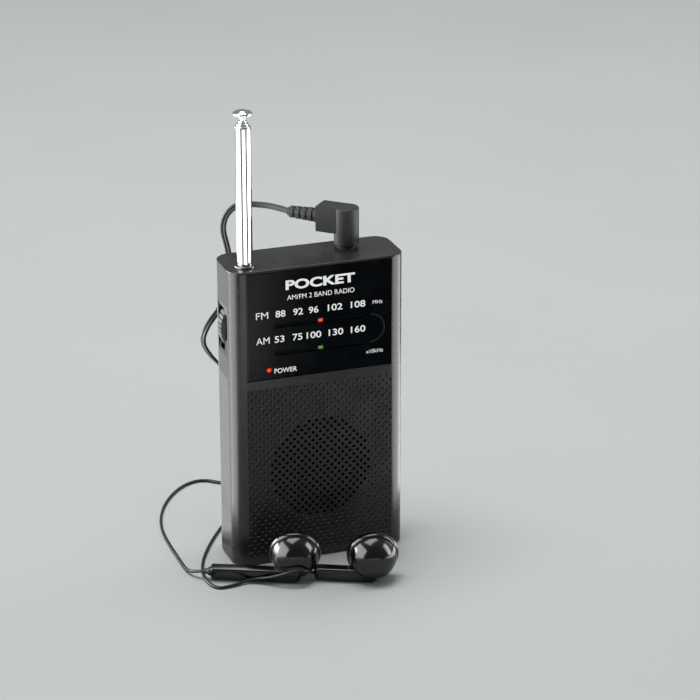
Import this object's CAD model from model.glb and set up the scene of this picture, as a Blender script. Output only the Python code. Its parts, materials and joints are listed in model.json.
import json
import math

import bmesh
import bpy
from mathutils import Matrix, Quaternion, Vector


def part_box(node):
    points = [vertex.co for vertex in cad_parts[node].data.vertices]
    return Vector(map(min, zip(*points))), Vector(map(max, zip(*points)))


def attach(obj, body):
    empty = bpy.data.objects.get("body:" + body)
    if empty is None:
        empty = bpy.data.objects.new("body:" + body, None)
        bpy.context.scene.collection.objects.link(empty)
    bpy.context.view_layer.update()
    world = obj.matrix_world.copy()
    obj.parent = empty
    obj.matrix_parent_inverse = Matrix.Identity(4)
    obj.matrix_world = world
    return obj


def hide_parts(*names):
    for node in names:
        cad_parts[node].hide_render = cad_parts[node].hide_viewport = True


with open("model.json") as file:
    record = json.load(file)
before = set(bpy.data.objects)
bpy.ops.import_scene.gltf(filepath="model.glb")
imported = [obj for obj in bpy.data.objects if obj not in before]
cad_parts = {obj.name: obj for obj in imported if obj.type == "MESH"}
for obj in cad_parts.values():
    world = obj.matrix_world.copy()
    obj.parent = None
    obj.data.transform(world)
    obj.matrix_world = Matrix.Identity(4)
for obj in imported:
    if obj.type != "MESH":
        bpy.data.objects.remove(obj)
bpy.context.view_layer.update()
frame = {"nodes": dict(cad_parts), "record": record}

MM = 0.001
nodes = frame["nodes"]
scene = bpy.context.scene


def mm(*values):
    """A point given in millimetres, as a vector in metres."""
    return Vector(values) * MM


def tone(red, green, blue):
    """The linear colour that shows as these display values from 0 to 255."""
    linear = []
    for value in (red, green, blue):
        share = value / 255
        linear.append(share / 12.92 if share <= 0.04045 else ((share + 0.055) / 1.055) ** 2.4)
    return tuple(linear)


def eased_share(share):
    """A share from 0 to 1 that starts and ends gently, held at those ends."""
    share = min(1.0, max(0.0, share))
    return share * share * (3 - 2 * share)


def bridge(mesh, rings):
    """Faces between each ring of vertices and the next one. A ring of one vertex is a pole."""
    for first, second in zip(rings, rings[1:]):
        count = max(len(first), len(second))
        for i in range(count):
            j = (i + 1) % count
            if len(first) == 1:
                mesh.faces.new((first[0], second[j], second[i]))
            elif len(second) == 1:
                mesh.faces.new((first[i], first[j], second[0]))
            else:
                mesh.faces.new((first[i], first[j], second[j], second[i]))


def finished_mesh(mesh, name):
    """The edited mesh as mesh data, with its faces turned outwards."""
    bmesh.ops.recalc_face_normals(mesh, faces=mesh.faces)
    data = bpy.data.meshes.new(name)
    mesh.to_mesh(data)
    mesh.free()
    return data


# ---------------------------------------------------------------- camera

CAMERA_AZIMUTH = math.radians(19.39)
CAMERA_ELEVATION = math.radians(21.515)
CAMERA_ROLL = math.radians(-0.118)
CAMERA_DISTANCE = 1.07568
CAMERA_AIM = mm(15.92, 0.0, 77.74)
SENSOR = 36.0
LENS = 146.86
CLIP_NEAR = 0.05
CLIP_FAR = 20.0


def add_camera():
    """The camera at the photograph's viewing angle."""
    level = math.cos(CAMERA_ELEVATION)
    back = Vector((
        -math.sin(CAMERA_AZIMUTH) * level,
        -math.cos(CAMERA_AZIMUTH) * level,
        math.sin(CAMERA_ELEVATION),
    ))
    right = Vector((math.cos(CAMERA_AZIMUTH), -math.sin(CAMERA_AZIMUTH), 0.0))
    right = Quaternion(back, CAMERA_ROLL) @ right
    up = back.cross(right)
    data = bpy.data.cameras.new("camera")
    data.lens = LENS
    data.sensor_width = SENSOR
    data.clip_start = CLIP_NEAR
    data.clip_end = CLIP_FAR
    camera = bpy.data.objects.new("camera", data)
    place = CAMERA_AIM + back * CAMERA_DISTANCE
    turn = Matrix((right, up, back)).transposed().to_4x4()
    camera.matrix_world = Matrix.Translation(place) @ turn
    scene.collection.objects.link(camera)
    scene.camera = camera


# ---------------------------------------------------------------- materials

# Noise between these two levels is stretched over a material's whole range of colour and gloss.
NOISE_LOW, NOISE_HIGH = 0.3, 0.7
SMOOTHEST = 0.02


def add_patches(tree, where, shader, colour, rough, look):
    """Colour and gloss that change slowly over the surface."""
    varied = look.get("varied", 0.12)
    worn = look.get("worn", 0.08)
    patches = tree.nodes.new("ShaderNodeTexNoise")
    patches.inputs["Scale"].default_value = 1.0 / look.get("patch", 9 * MM)
    patches.inputs["Detail"].default_value = 4.0
    tree.links.new(where.outputs["Object"], patches.inputs["Vector"])
    ramp = tree.nodes.new("ShaderNodeValToRGB")
    darker, lighter = ramp.color_ramp.elements
    darker.position = NOISE_LOW
    lighter.position = NOISE_HIGH
    darker.color = (*(c * (1 - varied) for c in colour), 1.0)
    lighter.color = (*(min(1.0, c * (1 + varied)) for c in colour), 1.0)
    tree.links.new(patches.outputs["Fac"], ramp.inputs["Fac"])
    tree.links.new(ramp.outputs["Color"], shader.inputs["Base Color"])
    gloss = tree.nodes.new("ShaderNodeMapRange")
    gloss.inputs["From Min"].default_value = NOISE_LOW
    gloss.inputs["From Max"].default_value = NOISE_HIGH
    gloss.inputs["To Min"].default_value = max(SMOOTHEST, rough - worn)
    gloss.inputs["To Max"].default_value = min(1.0, rough + worn)
    tree.links.new(patches.outputs["Fac"], gloss.inputs["Value"])
    tree.links.new(gloss.outputs["Result"], shader.inputs["Roughness"])


def add_grain(tree, where, shader, look):
    """A fine grain that stands out from the surface."""
    grain = tree.nodes.new("ShaderNodeTexNoise")
    grain.inputs["Scale"].default_value = 1.0 / look.get("size", 0.4 * MM)
    grain.inputs["Detail"].default_value = 3.0
    stretch = tree.nodes.new("ShaderNodeMapping")
    stretch.inputs["Scale"].default_value = look.get("stretch", (1.0, 1.0, 1.0))
    tree.links.new(where.outputs["Object"], stretch.inputs["Vector"])
    tree.links.new(stretch.outputs["Vector"], grain.inputs["Vector"])
    bump = tree.nodes.new("ShaderNodeBump")
    bump.inputs["Strength"].default_value = 0.5
    bump.inputs["Distance"].default_value = look.get("depth", 0.02 * MM)
    tree.links.new(grain.outputs["Fac"], bump.inputs["Height"])
    tree.links.new(bump.outputs["Normal"], shader.inputs["Normal"])


def finish(name, colour, rough, **look):
    """A material whose colour, gloss and surface vary at a real scale.

    In look, size is the grain's size in metres and depth its height. varied is how much the colour changes
    over patches of the size patch, and worn how much the roughness does. stretch draws the grain out.
    """
    material = bpy.data.materials.new(name)
    material.use_nodes = True
    tree = material.node_tree
    shader = tree.nodes["Principled BSDF"]
    shader.inputs["Metallic"].default_value = look.get("metallic", 0.0)
    shader.inputs["Specular IOR Level"].default_value = look.get("specular", 0.5)
    shader.inputs["Coat Weight"].default_value = look.get("coat", 0.0)
    shader.inputs["Coat Roughness"].default_value = 0.1
    shader.inputs["Alpha"].default_value = look.get("alpha", 1.0)
    shader.inputs["Emission Strength"].default_value = look.get("glow", 0.0)
    shader.inputs["Emission Color"].default_value = (*look.get("glow_colour", colour), 1.0)
    where = tree.nodes.new("ShaderNodeTexCoord")
    add_patches(tree, where, shader, colour, rough, look)
    add_grain(tree, where, shader, look)
    return material


def make_finishes():
    """One material for each slot of the record."""
    brushed = (1.0, 1.0, 0.04)
    return {
        "case_black": finish("case_black", tone(44, 43, 43), 0.27, size=0.22 * MM, depth=0.016 * MM,
                             worn=0.02, specular=0.45),
        "dial_black": finish("dial_black", tone(9, 14, 19), 0.16, size=2.5 * MM, depth=0.004 * MM,
                             worn=0.03, varied=0.06, specular=0.16),
        "grille_metal": finish("grille_metal", tone(33, 32, 33), 0.38, size=0.15 * MM, depth=0.01 * MM,
                               metallic=0.25, specular=0.35),
        "window_clear": finish("window_clear", tone(10, 14, 17), 0.12, size=3 * MM, depth=0.003 * MM,
                               alpha=0.45, worn=0.02, specular=0.16),
        "knob_grey": finish("knob_grey", tone(120, 119, 116), 0.42, size=0.3 * MM, depth=0.012 * MM),
        "chrome": finish("chrome", tone(226, 225, 221), 0.05, size=0.3 * MM, depth=0.001 * MM,
                         metallic=1.0, varied=0.03, worn=0.015, stretch=brushed),
        "steel": finish("steel", tone(150, 149, 146), 0.3, size=0.2 * MM, depth=0.004 * MM, metallic=1.0,
                        varied=0.08),
        "lamp_red": finish("lamp_red", tone(238, 44, 30), 0.14, size=1 * MM, depth=0.003 * MM,
                           glow=0.75, glow_colour=tone(255, 52, 34), coat=0.6),
        "mark_red": finish("mark_red", tone(232, 84, 60), 0.4, glow=3.2, glow_colour=tone(240, 92, 66)),
        "mark_green": finish("mark_green", tone(86, 132, 62), 0.4, glow=3.2, glow_colour=tone(96, 146, 70)),
        "pointer_pale": finish("pointer_pale", tone(190, 188, 180), 0.45),
        "string_pale": finish("string_pale", tone(196, 190, 170), 0.8, size=0.12 * MM, depth=0.03 * MM),
        "board_green": finish("board_green", tone(34, 84, 52), 0.42, size=0.6 * MM, depth=0.02 * MM),
        "inner_black": finish("inner_black", tone(34, 34, 35), 0.5),
        "ferrite": finish("ferrite", tone(58, 54, 52), 0.6, size=0.2 * MM, depth=0.02 * MM),
        "winding": finish("winding", tone(156, 88, 42), 0.35, size=0.25 * MM, depth=0.05 * MM,
                          metallic=0.7, stretch=(6.0, 0.3, 0.3)),
        "paper": finish("paper", tone(48, 44, 42), 0.85, size=0.15 * MM, depth=0.04 * MM),
        "tray_plastic": finish("tray_plastic", tone(44, 43, 43), 0.5),
        "cell_jacket": finish("cell_jacket", tone(86, 96, 104), 0.3, size=1 * MM, depth=0.004 * MM,
                              metallic=0.4),
        "plug_rubber": finish("plug_rubber", tone(46, 46, 48), 0.5, size=0.18 * MM, depth=0.014 * MM,
                              specular=0.4),
        "pin_gold": finish("pin_gold", tone(212, 174, 96), 0.2, metallic=1.0, depth=0.002 * MM),
        "cord_rubber": finish("cord_rubber", tone(24, 24, 26), 0.34, size=0.25 * MM, depth=0.01 * MM,
                              specular=0.4),
        "earbud_black": finish("earbud_black", tone(13, 13, 15), 0.16, size=1.2 * MM, depth=0.003 * MM,
                               worn=0.03, specular=0.6),
        "earbud_metal": finish("earbud_metal", tone(150, 150, 152), 0.28, metallic=0.9, size=0.2 * MM,
                               depth=0.006 * MM),
    }


finishes = make_finishes()
# Finishes that belong to no slot: the print, the collar's darker chrome and the plate behind the dial.
ink = finish("printed_white", tone(238, 238, 236), 0.5, size=0.1 * MM, depth=0.004 * MM, varied=0.05,
             glow=0.5, glow_colour=tone(240, 240, 238))
dark_chrome = finish("dark_chrome", tone(104, 104, 103), 0.24, size=0.3 * MM, depth=0.002 * MM, metallic=1.0)
behind_dial = finish("behind_dial", tone(26, 33, 38), 0.6, size=0.3 * MM, depth=0.01 * MM, glow=0.6,
                     glow_colour=tone(22, 28, 32))
band_ink = finish("printed_grey", tone(24, 30, 35), 0.35, size=0.2 * MM, depth=0.003 * MM, specular=0.2)


def dress_nodes():
    """Gives every carried-over solid the finish of its slot."""
    for part in frame["record"]["subparts"]:
        piece = nodes[part["node"]]
        if not piece.material_slots:
            piece.data.materials.append(None)
        for place in piece.material_slots:
            place.material = finishes[part["material_slot"]]
    for place in nodes["dial_backplate"].material_slots:
        place.material = behind_dial


def add_piece(name, mesh, slot, body="radio", smooth=True, angle=35.0):
    """A mesh as a piece of the model, riding on a body."""
    piece = bpy.data.objects.new(name, mesh)
    scene.collection.objects.link(piece)
    mesh.materials.clear()
    mesh.materials.append(finishes[slot])
    if smooth:
        mesh.shade_smooth()
        mesh.set_sharp_from_angle(angle=math.radians(angle))
    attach(piece, body)
    return piece


# ---------------------------------------------------------------- cords

LEAD_THICK = 1.2 * MM
# Half the distance between the twin cord's two cores, and a core's radius, in millimetres.
CORE_OFFSET = 0.58
CORE_RADIUS = 0.62
# The twin cord stands on edge at the plug and lies flat further on: between these lengths it turns.
TURN_FROM, TURN_UNTIL = 0.06, 0.15

# The twin cord from the relief down the back of the radio to the coil.
MAIN_ROUTE = [
    (-1.26, 20.1, 128.5),
    (-5.2, 24.9, 129.2),
    (-10.6, 29.4, 129.3),
    (-17.2, 33.2, 129.0),
    (-21.2, 35.6, 124.6),
    (-22.3, 36.8, 118.4),
    (-20.6, 37.0, 112.0),
    (-19.3, 36.4, 104.0),
    (-20.6, 35.2, 95.6),
    (-24.4, 34.2, 87.4),
    (-30.2, 32.7, 82.0),
    (-32.9, 31.9, 75.8),
    (-29.8, 31.6, 70.0),
    (-24.2, 31.8, 63.6),
    (-15.0, 32.2, 46.0),
    (-9.0, 33.6, 29.0),
    (-6.0, 38.0, 13.0),
    (-3.6, 45.2, 4.2),
    (2.0, 52.2, 1.4),
    (9.0, 56.2, 1.3),
]
COIL_CENTRE = (18.0, 38.0)
COIL_OUTER = 17.6
COIL_PITCH = 2.4
COIL_LAYER_TURNS = 4
POINTS_A_TURN = 14
COIL_START_TURN = 92.0
COIL_LOW = 1.25
COIL_LAYER_RISE = 2.35
# The share of a turn in which the cord climbs to the upper layer, and how unevenly it lies.
COIL_CLIMB = 0.8
COIL_UNEVEN = 0.012
TAIL_ROUTE = [
    (35.6, 48.6, 3.0),
    (39.4, 55.0, 1.4),
    (37.0, 63.0, 1.3),
    (33.0, 68.4, 1.3),
    (27.0, 70.6, 1.5),
]

LEFT_ROUTE = [
    (18.48, 73.56, 1.3),
    (9.8, 72.6, 0.7),
    (1.5, 67.2, 0.65),
    (-7.0, 62.6, 0.65),
    (-15.6, 63.2, 0.65),
    (-22.6, 70.4, 0.65),
    (-31.5, 67.6, 0.65),
    (-40.6, 57.4, 0.65),
    (-47.4, 44.6, 0.65),
    (-51.2, 31.0, 0.65),
    (-52.2, 16.6, 0.65),
    (-52.3, 2.8, 0.65),
    (-52.4, -7.6, 0.7),
    (-51.2, -13.4, 2.2),
    (-48.22, -15.93, 3.3),
]
RIGHT_ROUTE = [
    (18.14, 72.3, 1.3),
    (8.6, 69.0, 0.7),
    (-1.0, 60.8, 0.65),
    (-11.0, 48.5, 0.65),
    (-22.0, 33.0, 0.65),
    (-31.0, 21.2, 0.65),
    (-38.6, 9.0, 0.65),
    (-45.0, -3.6, 0.65),
    (-48.2, -16.2, 0.65),
    (-46.6, -27.0, 0.65),
    (-39.2, -26.6, 0.7),
    (-32.2, -24.9, 1.5),
    (-25.4, -30.6, 3.6),
    (-18.9, -35.0, 7.2),
    (-14.2, -35.6, 6.8),
    (-11.4, -33.2, 4.6),
    (-9.6, -31.3, 3.4),
]


def coil_points():
    """The turns of the put-away coil: inwards on the table, then outwards on top of those."""
    points = []
    steps = 2 * COIL_LAYER_TURNS * POINTS_A_TURN
    for step in range(steps + 1):
        turns = step / POINTS_A_TURN
        upper = turns > COIL_LAYER_TURNS
        inwards = 2 * COIL_LAYER_TURNS - turns if upper else turns
        radius = (COIL_OUTER - COIL_PITCH * inwards) * (1 + COIL_UNEVEN * math.sin(2.3 * step))
        share = (turns - COIL_LAYER_TURNS + COIL_CLIMB / 2) / COIL_CLIMB
        height = COIL_LOW + COIL_LAYER_RISE * eased_share(share)
        angle = math.radians(COIL_START_TURN) - 2 * math.pi * turns
        points.append((
            COIL_CENTRE[0] + radius * math.cos(angle),
            COIL_CENTRE[1] + radius * math.sin(angle),
            height,
        ))
    return points


def smooth_line(name, route, resolution):
    """A curve object with the route as the control points of one open spline, in metres."""
    curve = bpy.data.curves.new(name, "CURVE")
    curve.dimensions = "3D"
    curve.resolution_u = resolution
    spline = curve.splines.new("NURBS")
    spline.points.add(len(route) - 1)
    for point, place in zip(spline.points, route):
        point.co = (*mm(*place), 1.0)
    spline.order_u = 3
    spline.use_endpoint_u = True
    line = bpy.data.objects.new(name, curve)
    scene.collection.objects.link(line)
    return line


def path_points(line):
    """The points of a curve without bevel, in order."""
    depsgraph = bpy.context.evaluated_depsgraph_get()
    mesh = bpy.data.meshes.new_from_object(line.evaluated_get(depsgraph))
    points = [v.co.copy() for v in mesh.vertices]
    bpy.data.meshes.remove(mesh)
    return points


def twin_section():
    """The outline of two cores side by side with a shallow groove between them, in metres."""
    outline = []
    for side in (1, -1):
        for step in range(9):
            angle = math.radians(-140 + 35 * step)
            x = (CORE_OFFSET + CORE_RADIUS * math.cos(angle)) * side
            y = CORE_RADIUS * math.sin(angle) * side
            outline.append((x * MM, y * MM))
    return outline


def untwisted(headings):
    """For each heading, the direction of the section's width, carried along without twist."""
    wide = Vector((0, 0, 1))
    widths = []
    for heading in headings:
        wide = (wide - heading * wide.dot(heading)).normalized()
        widths.append(wide.copy())
    return widths


def swept(points, section):
    """A closed tube of the section along the points, upright at first and flat from TURN_UNTIL on."""
    lengths = [0.0]
    for before, after in zip(points, points[1:]):
        lengths.append(lengths[-1] + (after - before).length)
    last = len(points) - 1
    headings = [
        (points[min(last, i + 1)] - points[max(0, i - 1)]).normalized() for i in range(len(points))
    ]
    widths = untwisted(headings)
    settled = next(i for i, length in enumerate(lengths) if length >= TURN_UNTIL)
    flat = headings[settled].cross(Vector((0, 0, 1))).normalized()
    side = headings[settled].cross(widths[settled])
    twist = math.atan2(flat.dot(side), flat.dot(widths[settled]))
    mesh = bmesh.new()
    rings = []
    for point, heading, wide, length in zip(points, headings, widths, lengths):
        share = eased_share((length - TURN_FROM) / (TURN_UNTIL - TURN_FROM))
        turned = Quaternion(heading, twist * share) @ wide
        thick = heading.cross(turned)
        rings.append([mesh.verts.new(point + turned * x + thick * y) for x, y in section])
    bridge(mesh, rings)
    mesh.faces.new(reversed(rings[0]))
    mesh.faces.new(rings[-1])
    return finished_mesh(mesh, "swept")


def add_main_cord():
    """The twin cord: from the plug down the back, through the coil and on to the splitter."""
    line = smooth_line("twin_line", MAIN_ROUTE + coil_points() + TAIL_ROUTE, 6)
    points = path_points(line)
    bpy.data.objects.remove(line)
    mesh = swept(points, twin_section())
    cord = add_piece("twin_cord", mesh, "cord_rubber", angle=50.0)
    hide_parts("main_cord", "cord_coil", "cord_tail")


def add_lead(word, route):
    """One of the two thin leads, from the splitter to an earbud."""
    line = smooth_line(f"{word}_lead_cord", route, 12)
    line.data.bevel_depth = LEAD_THICK / 2
    line.data.bevel_resolution = 4
    line.data.use_fill_caps = True
    line.data.materials.append(finishes["cord_rubber"])
    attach(line, "radio")
    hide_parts(f"{word}_lead")


# ---------------------------------------------------------------- earbuds

# For each earbud: where its stem starts and which way it points, its length and how many of its ends are
# round, the middle of the bowl's rim, and which way the face looks.
EARBUDS = {
    "left": {
        "stem_end": (-45.5, -17.2, 3.3),
        "stem_turn": -25.0,
        "stem_length": 33.6,
        "rim": (-14.66, -24.47, 9.67),
        "face_turn": 21.0,
        "face_rise": 16.0,
        "round_ends": 1,
    },
    "right": {
        "stem_end": (-9.2, -30.4, 3.25),
        "stem_turn": -26.0,
        "stem_length": 23.4,
        "rim": (12.1, -35.74, 9.78),
        "face_turn": 13.5,
        "face_rise": 13.5,
        "round_ends": 2,
    },
}
STEM_DEPTH = 4.0
STEM_HEIGHT = 5.3
STEM_END_ROUND = 1.84
STEM_EDGE_ROUND = 0.88
TURNED_SEGMENTS = 96
# The bowl from its back to the rim, the rim and the hollow inside: each point's radius and height.
BOWL = [(0.0, -9.7), (2.6, -9.4), (4.8, -8.6), (6.6, -7.2), (7.8, -5.6), (8.5, -4.2), (8.9, -3.0)]
RIM = [(9.0, -2.5), (8.72, -2.38), (8.72, -2.1), (9.1, -1.98), (9.5, -1.6), (9.72, -1.1), (9.8, -0.6),
       (9.8, 0.22), (9.7, 0.5), (9.45, 0.8), (9.2, 0.9), (8.74, 0.9), (8.7, 0.8), (8.7, -0.8)]
INSIDE = [(6.6, -3.0), (5.6, -5.4), (3.6, -7.0), (0.0, -7.4)]


def eased(profile, parts):
    """The profile's points with a smooth curve through them."""
    result = []
    last = len(profile) - 1
    for i in range(last):
        here, there = Vector(profile[i]), Vector(profile[i + 1])
        before = Vector(profile[i - 1]) if i else Vector((-profile[1][0], profile[1][1]))
        after = Vector(profile[min(last, i + 2)])
        for part in range(parts):
            t = part / parts
            a = 2 * here
            b = (there - before) * t
            c = (2 * before - 5 * here + 4 * there - after) * t * t
            d = (3 * here - before - 3 * there + after) * t ** 3
            result.append(tuple((a + b + c + d) / 2))
    result.append(profile[-1])
    return result


def lathe(profile, ring_shaped=False):
    """A closed mesh turned about Z from a profile of (radius, height) in millimetres."""
    mesh = bmesh.new()
    rings = []
    for radius, height in profile:
        if radius < 1e-6:
            rings.append([mesh.verts.new(mm(0.0, 0.0, height))])
            continue
        ring = []
        for step in range(TURNED_SEGMENTS):
            angle = 2 * math.pi * step / TURNED_SEGMENTS
            ring.append(mesh.verts.new(mm(radius * math.cos(angle), radius * math.sin(angle), height)))
        rings.append(ring)
    if ring_shaped:
        rings.append(rings[0])
    bridge(mesh, rings)
    return finished_mesh(mesh, "lathe")


def rounded_bar(length, round_ends):
    """A stem along X, centred on its axis, with soft edges and one or both of its ends round."""
    mesh = bmesh.new()
    bmesh.ops.create_cube(mesh, size=1.0)
    for vertex in mesh.verts:
        vertex.co = Vector((
            (vertex.co.x + 0.5) * length * MM,
            vertex.co.y * STEM_DEPTH * MM,
            vertex.co.z * STEM_HEIGHT * MM,
        ))
    upright = []
    for edge in mesh.edges:
        along = (edge.verts[1].co - edge.verts[0].co).normalized()
        middle = (edge.verts[0].co + edge.verts[1].co) / 2
        if abs(along.z) > 0.9 and (middle.x > length * MM / 2 or round_ends == 2):
            upright.append(edge)
    bmesh.ops.bevel(mesh, geom=upright, offset=STEM_END_ROUND * MM, segments=10, profile=0.5,
                    affect="EDGES")
    sharp = [e for e in mesh.edges if len(e.link_faces) == 2 and e.calc_face_angle() > 1.0]
    bmesh.ops.bevel(mesh, geom=sharp, offset=STEM_EDGE_ROUND * MM, segments=5, profile=0.5,
                    affect="EDGES", clamp_overlap=True)
    return finished_mesh(mesh, "bar")


def applied(piece):
    """The piece's mesh with its modifiers applied."""
    depsgraph = bpy.context.evaluated_depsgraph_get()
    mesh = bpy.data.meshes.new_from_object(piece.evaluated_get(depsgraph))
    piece.modifiers.clear()
    piece.data = mesh
    return mesh


def joined(first, second):
    """The union of two closed meshes as one mesh."""
    main = bpy.data.objects.new("union_main", first)
    tool = bpy.data.objects.new("union_tool", second)
    scene.collection.objects.link(main)
    scene.collection.objects.link(tool)
    step = main.modifiers.new("union", "BOOLEAN")
    step.operation = "UNION"
    step.solver = "EXACT"
    step.object = tool
    bpy.context.view_layer.update()
    mesh = applied(main)
    bpy.data.objects.remove(tool)
    bpy.data.objects.remove(main)
    return mesh


def stem_turn(bud):
    """The rotation of a stem that lies along its heading."""
    around = Matrix.Rotation(math.radians(bud["stem_turn"]), 4, "Z")
    return around @ Matrix.Rotation(math.radians(bud["face_rise"]), 4, "X")


def face_turn(bud):
    """The rotation that turns a lathe's axis to where an earbud's face looks."""
    rise = math.radians(bud["face_rise"])
    turn = math.radians(bud["face_turn"])
    facing = Vector((math.sin(turn) * math.cos(rise), math.cos(turn) * math.cos(rise), math.sin(rise)))
    return Vector((0, 0, 1)).rotation_difference(facing).to_matrix().to_4x4()


def add_earbud(word, bud):
    """A glossy bowl with a rolled rim, joined to its flat stem."""
    bowl = lathe(eased(BOWL, 4) + RIM + INSIDE)
    bowl.transform(Matrix.Translation(mm(*bud["rim"])) @ face_turn(bud))
    bar = rounded_bar(bud["stem_length"], bud["round_ends"])
    bar.transform(Matrix.Translation(mm(*bud["stem_end"])) @ stem_turn(bud))
    shell = add_piece(f"{word}_earbud_moulding", joined(bowl, bar), "earbud_black", angle=32.0)
    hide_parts(f"{word}_earbud_shell")
    return shell


# ---------------------------------------------------------------- antenna

ANTENNA_RADIUS = 2.95
SECTION_STEP = 0.66
TUBE_WALL = 0.35
NECK_GAP = 0.25
TUBE_FOOT = 2.0
SECTION_FOOT = 1.0
# The rings this far from a sharp edge keep the long walls' shading straight.
FOOT_RING = 0.5
MOUTH_RING = 1.0
# The button's outline above its base: each point's radius and height.
BUTTON = [(0.0, 0.0), (1.5, 0.0), (1.5, 0.45), (1.3, 0.6), (1.3, 0.75), (1.7, 0.95), (2.6, 1.12),
          (3.3, 1.3), (3.58, 1.5), (3.65, 1.72), (3.6, 1.98), (3.4, 2.26), (3.0, 2.5), (2.7, 2.6),
          (2.55, 2.56), (2.4, 2.6), (2.1, 2.82), (1.3, 3.08), (0.6, 3.17), (0.0, 3.2)]


def box_mm(node):
    """A node's lowest and highest corners in millimetres."""
    low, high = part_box(node)
    return low / MM, high / MM


def add_turned(node, profile, body, ring_shaped=False):
    """A smooth chrome piece turned about the antenna's axis, in place of a solid."""
    low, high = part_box(node)
    middle = (low + high) / 2
    mesh = lathe(profile, ring_shaped)
    mesh.transform(Matrix.Translation(Vector((middle.x, middle.y, 0.0))))
    piece = add_piece(f"{node}_turned", mesh, "chrome", body)
    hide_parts(node)
    return piece


def tube_profile(low, top, foot_radius, foot, outer):
    """The section of a hollow tube with a foot and a neck rolled in at its mouth."""
    inner = outer - TUBE_WALL
    neck = inner - NECK_GAP
    return [
        (0.0, low), (foot_radius, low), (foot_radius, low + foot), (outer, low + foot),
        (outer, low + foot + FOOT_RING), (outer, top - MOUTH_RING), (outer, top - 0.5),
        (outer - 0.05, top - 0.25), (outer - 0.18, top - 0.08), (outer - 0.36, top), (neck, top),
        (neck, top - 0.6), (inner, top - 0.8), (inner, low + foot + 0.5), (0.0, low + foot + 0.5),
    ]


def rod_profile(low, top, outer):
    """The section of the solid innermost rod with its foot."""
    foot_radius = outer + NECK_GAP
    foot = low + SECTION_FOOT
    return [(0.0, low), (foot_radius, low), (foot_radius, foot), (outer, foot),
            (outer, foot + FOOT_RING), (outer, top), (0.0, top)]


def collar_profile(low, top, wide):
    """The section of the collar: a sleeve in the case with a rounded rim on top."""
    bore = ANTENNA_RADIUS + 0.05
    return [(bore, low), (wide - 0.5, low), (wide - 0.5, top - 0.8), (wide, top - 0.8),
            (wide, top - 0.4), (wide - 0.08, top - 0.2), (wide - 0.3, top - 0.04), (wide - 0.5, top),
            (bore + 0.2, top), (bore, top - 0.2)]


def add_antenna():
    """The collar, the tube, the three inner sections and the button on top."""
    low, high = box_mm("antenna_tube")
    tube = tube_profile(low.z, high.z, (high.x - low.x) / 2, TUBE_FOOT, ANTENNA_RADIUS)
    add_turned("antenna_tube", tube, "antenna_outer")
    for number, body in ((1, "antenna_first"), (2, "antenna_second")):
        low, high = box_mm(f"antenna_section_{number}")
        outer = ANTENNA_RADIUS - SECTION_STEP * number
        section = tube_profile(low.z, high.z, outer + NECK_GAP, SECTION_FOOT, outer)
        add_turned(f"antenna_section_{number}", section, body)
    low, high = box_mm("antenna_section_3")
    rod = rod_profile(low.z, high.z, ANTENNA_RADIUS - SECTION_STEP * 3)
    add_turned("antenna_section_3", rod, "antenna_third")
    base = box_mm("antenna_tip")[0].z
    add_turned("antenna_tip", [(radius, base + height) for radius, height in BUTTON], "antenna_third")
    low, high = box_mm("antenna_collar")
    collar = collar_profile(low.z, high.z, (high.x - low.x) / 2)
    ring = add_turned("antenna_collar", collar, "radio", ring_shaped=True)
    ring.data.materials[0] = dark_chrome


# ---------------------------------------------------------------- print on the dial

LENS_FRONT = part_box("dial_lens")[0].y
PRINT_RAISE = 0.03 * MM
# Each printed word: its text, the middle of its line, its width and height in millimetres, and its weight.
PRINTED = {
    "word_maker": ("POCKET", 0.35, 111.3, 26.9, 3.8, 0.034),
    "word_type": ("AM/FM 2 BAND RADIO", 0.5, 106.4, 26.2, 1.9, 0.0),
    "word_fm": ("FM", -22.3, 100.5, 4.7, 2.6, 0.0),
    "fm_88": ("88", -15.2, 100.5, 3.8, 2.6, 0.012),
    "fm_92": ("92", -8.4, 100.5, 3.8, 2.6, 0.012),
    "fm_96": ("96", -2.4, 100.5, 3.8, 2.6, 0.012),
    "fm_102": ("102", 6.0, 100.5, 5.7, 2.6, 0.012),
    "fm_108": ("108", 15.0, 100.5, 5.7, 2.6, 0.012),
    "fm_unit": ("MHz", 22.7, 100.5, 3.9, 1.4, 0.0),
    "word_am": ("AM", -22.1, 90.6, 5.2, 2.6, 0.0),
    "am_53": ("53", -15.7, 90.6, 3.8, 2.6, 0.012),
    "am_75": ("75", -8.7, 90.6, 3.8, 2.6, 0.012),
    "am_100": ("100", -2.3, 90.6, 5.7, 2.6, 0.012),
    "am_130": ("130", 6.3, 90.6, 5.7, 2.6, 0.012),
    "am_160": ("160", 15.0, 90.6, 5.7, 2.6, 0.012),
    "am_unit": ("x10kHz", 21.5, 81.1, 6.7, 1.5, 0.0),
    "word_power": ("POWER", -13.4, 78.1, 8.8, 1.9, 0.01),
}


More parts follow.
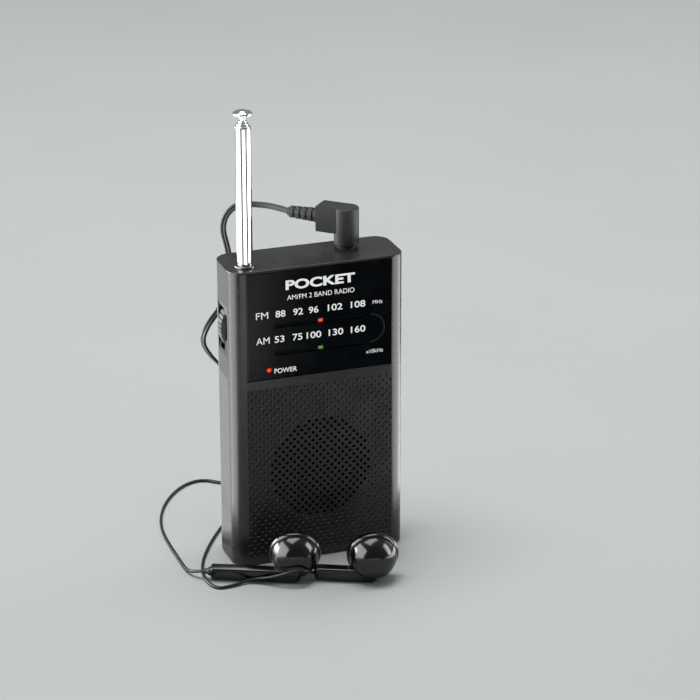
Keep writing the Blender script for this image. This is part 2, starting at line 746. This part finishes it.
def add_word(name, text, x, z, width, height, weight):
    """A printed word as a thin raised mesh on the dial."""
    curve = bpy.data.curves.new(name, "FONT")
    curve.body = text
    curve.size = 1.0
    curve.offset = weight
    curve.extrude = 0.5
    curve.resolution_u = 6
    drawn = bpy.data.objects.new(name, curve)
    scene.collection.objects.link(drawn)
    depsgraph = bpy.context.evaluated_depsgraph_get()
    mesh = bpy.data.meshes.new_from_object(drawn.evaluated_get(depsgraph))
    bpy.data.objects.remove(drawn)
    low = Vector([min(v.co[i] for v in mesh.vertices) for i in range(3)])
    high = Vector([max(v.co[i] for v in mesh.vertices) for i in range(3)])
    middle = (low + high) / 2
    scale = Matrix.Diagonal((
        width * MM / (high.x - low.x),
        height * MM / (high.y - low.y),
        PRINT_RAISE / (high.z - low.z),
        1.0,
    ))
    upright = Matrix.Rotation(math.radians(90), 4, "X")
    place = Matrix.Translation(Vector((x * MM, LENS_FRONT, z * MM)))
    mesh.transform(place @ upright @ scale @ Matrix.Translation(-middle))
    add_piece(name, mesh, "dial_black", smooth=False)
    mesh.materials[0] = ink


BAND_LEFT, BAND_RIGHT = -26.3, 25.6
BAND_LOW, BAND_HIGH = 85.0, 95.8
BAND_THICK = 0.55
BAND_STEPS = 32


def add_dial_band():
    """The faint rounded line that closes the two windows into one long loop."""
    outer = (BAND_HIGH - BAND_LOW) / 2 + BAND_THICK / 2
    middle = (BAND_HIGH + BAND_LOW) / 2
    mesh = bmesh.new()
    for end, side in ((BAND_LEFT, -1), (BAND_RIGHT, 1)):
        centre = end - side * outer
        rings = []
        for step in range(BAND_STEPS + 1):
            angle = math.pi * (step / BAND_STEPS - 0.5)
            ring = []
            for radius in (outer - BAND_THICK, outer):
                for depth in (0.0, PRINT_RAISE):
                    x = centre + side * radius * math.cos(angle)
                    z = middle + radius * math.sin(angle)
                    ring.append(mesh.verts.new(Vector((x * MM, LENS_FRONT - depth, z * MM))))
            rings.append([ring[0], ring[1], ring[3], ring[2]])
        bridge(mesh, rings)
        mesh.faces.new(rings[0])
        mesh.faces.new(rings[-1])
    data = finished_mesh(mesh, "dial_band")
    add_piece("dial_band", data, "dial_black", smooth=False)
    data.materials[0] = band_ink


# ---------------------------------------------------------------- stage and lights

def stage_material(name, colour, rough, glow=0.0):
    """A plain surface for the stage."""
    return finish(name, colour, rough, size=4 * MM, depth=0.01 * MM, varied=0.015, worn=0.02,
                  patch=120 * MM, specular=0.0, glow=glow)


FLOOR_HALF = 3.0


def add_floor():
    """The plain pale floor."""
    half = FLOOR_HALF
    mesh = bpy.data.meshes.new("floor")
    corners = [(-half, -half, 0.0), (half, -half, 0.0), (half, half, 0.0), (-half, half, 0.0)]
    mesh.from_pydata(corners, [], [(0, 1, 2, 3)])
    mesh.materials.append(stage_material("floor_pale", tone(206, 210, 209), 0.6))
    floor = bpy.data.objects.new("floor", mesh)
    scene.collection.objects.link(floor)


# Each lamp: where it stands, what it looks at, its width and height in metres, its power in watts, and
# whether only shiny surfaces see it.
LAMPS = {
    "overhead": ((-0.1, 0.22, 1.5), (0.0, 0.0, 0.05), 1.2, 0.9, 18.0, False),
    "right_panel": ((1.15, 0.3, 0.5), (0.0, 0.0, 0.07), 0.35, 0.7, 1.0, False),
    "back_left_gloss": ((-0.66, 0.46, 0.14), (0.0, 0.0, 0.06), 0.5, 0.3, 8.0, True),
    "left_gloss": ((-0.9, 0.0, 0.4), (0.0, 0.0, 0.05), 1.1, 0.8, 16.0, True),
    "right_gloss": ((0.8, -0.3, 0.36), (0.0, 0.0, 0.05), 0.3, 0.7, 5.0, True),
}
# How bright the surroundings are on the camera's side and everywhere else.
FRONT_LIGHT = 0.2
SIDE_LIGHT = 0.42
# Each card on the floor, which only shiny surfaces see: the node it lies round, its start and end in
# degrees to the right of the camera's side, its near and far edge in metres, its height, and how bright
# it is.
CARDS = {
    "card_left": ("antenna_tube", -32.0, -14.0, 0.24, 0.8, 0.002, 0.0),
    "card_right": ("antenna_tube", 38.0, 60.0, 0.17, 0.8, 0.002, 0.0),
    "card_back": ("antenna_tube", 128.0, 165.0, 0.24, 0.7, 0.002, 0.0),
    "card_white": ("antenna_tube", -110.0, 120.0, 0.19, 0.8, 0.001, 1.3),
    "card_corner_left": ("left_side_panel", -168.0, -112.0, 0.02, 0.42, 0.001, 0.9),
    "card_side_left": ("left_side_panel", -112.0, -46.0, 0.04, 0.5, 0.0015, 6.0),
    "card_side_right": ("right_side_panel", 50.0, 140.0, 0.04, 0.5, 0.0015, 5.0),
}


CARD_STEPS = 24
CARD_WHITE, CARD_BLACK = 235, 12


def toward_camera(degrees_right):
    """The level direction from the object to the camera's side, turned to the right as seen from there."""
    angle = -CAMERA_AZIMUTH + math.radians(degrees_right)
    return Vector((math.sin(angle), -math.cos(angle), 0.0))


def add_cards():
    """Black and white cards that give the chrome its lines, as in a product studio."""
    for name, (node, start, end, near, far, height, bright) in CARDS.items():
        low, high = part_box(node)
        middle = (low + high) / 2
        vertices = []
        for reach in (near, far):
            for step in range(CARD_STEPS + 1):
                heading = toward_camera(start + (end - start) * step / CARD_STEPS)
                vertices.append((middle.x + heading.x * reach, middle.y + heading.y * reach, height))
        faces = [(i, i + 1, i + CARD_STEPS + 2, i + CARD_STEPS + 1) for i in range(CARD_STEPS)]
        mesh = bpy.data.meshes.new(name)
        mesh.from_pydata(vertices, [], faces)
        shade = CARD_WHITE if bright else CARD_BLACK
        mesh.materials.append(stage_material(name, tone(shade, shade, shade), 0.9, bright))
        card = bpy.data.objects.new(name, mesh)
        scene.collection.objects.link(card)
        card.visible_camera = False
        card.visible_diffuse = False
        card.visible_shadow = False


def add_world():
    """An even pale surrounding that is dimmer on the camera's side."""
    world = bpy.data.worlds.new("studio")
    world.use_nodes = True
    tree = world.node_tree
    background = tree.nodes["Background"]
    background.inputs["Color"].default_value = (*tone(214, 219, 217), 1.0)
    where = tree.nodes.new("ShaderNodeTexCoord")
    facing = tree.nodes.new("ShaderNodeVectorMath")
    facing.operation = "DOT_PRODUCT"
    facing.inputs[1].default_value = toward_camera(0.0)
    tree.links.new(where.outputs["Generated"], facing.inputs[0])
    level = tree.nodes.new("ShaderNodeMapRange")
    level.interpolation_type = "SMOOTHSTEP"
    level.inputs["From Min"].default_value = 0.0
    level.inputs["From Max"].default_value = 0.75
    level.inputs["To Min"].default_value = SIDE_LIGHT
    level.inputs["To Max"].default_value = FRONT_LIGHT
    tree.links.new(facing.outputs["Value"], level.inputs["Value"])
    tree.links.new(level.outputs["Result"], background.inputs["Strength"])
    scene.world = world


def add_lights():
    """Plain soft studio light: large panels round the object."""
    for name, (place, aim, width, height, power, gloss_only) in LAMPS.items():
        data = bpy.data.lights.new(name, "AREA")
        data.shape = "RECTANGLE"
        data.size = width
        data.size_y = height
        data.energy = power
        lamp = bpy.data.objects.new(name, data)
        heading = Vector(aim) - Vector(place)
        turn = heading.to_track_quat("-Z", "Y").to_matrix().to_4x4()
        lamp.matrix_world = Matrix.Translation(Vector(place)) @ turn
        lamp.visible_diffuse = not gloss_only
        lamp.visible_camera = False
        scene.collection.objects.link(lamp)
    scene.view_settings.view_transform = "Standard"


# ---------------------------------------------------------------- the whole

add_camera()
dress_nodes()
add_main_cord()
buds = {word: add_earbud(word, bud) for word, bud in EARBUDS.items()}
add_lead("left", LEFT_ROUTE)
add_lead("right", RIGHT_ROUTE)
for name, word in PRINTED.items():
    add_word(name, *word)
add_dial_band()
add_antenna()
add_floor()
add_cards()
add_world()
add_lights()
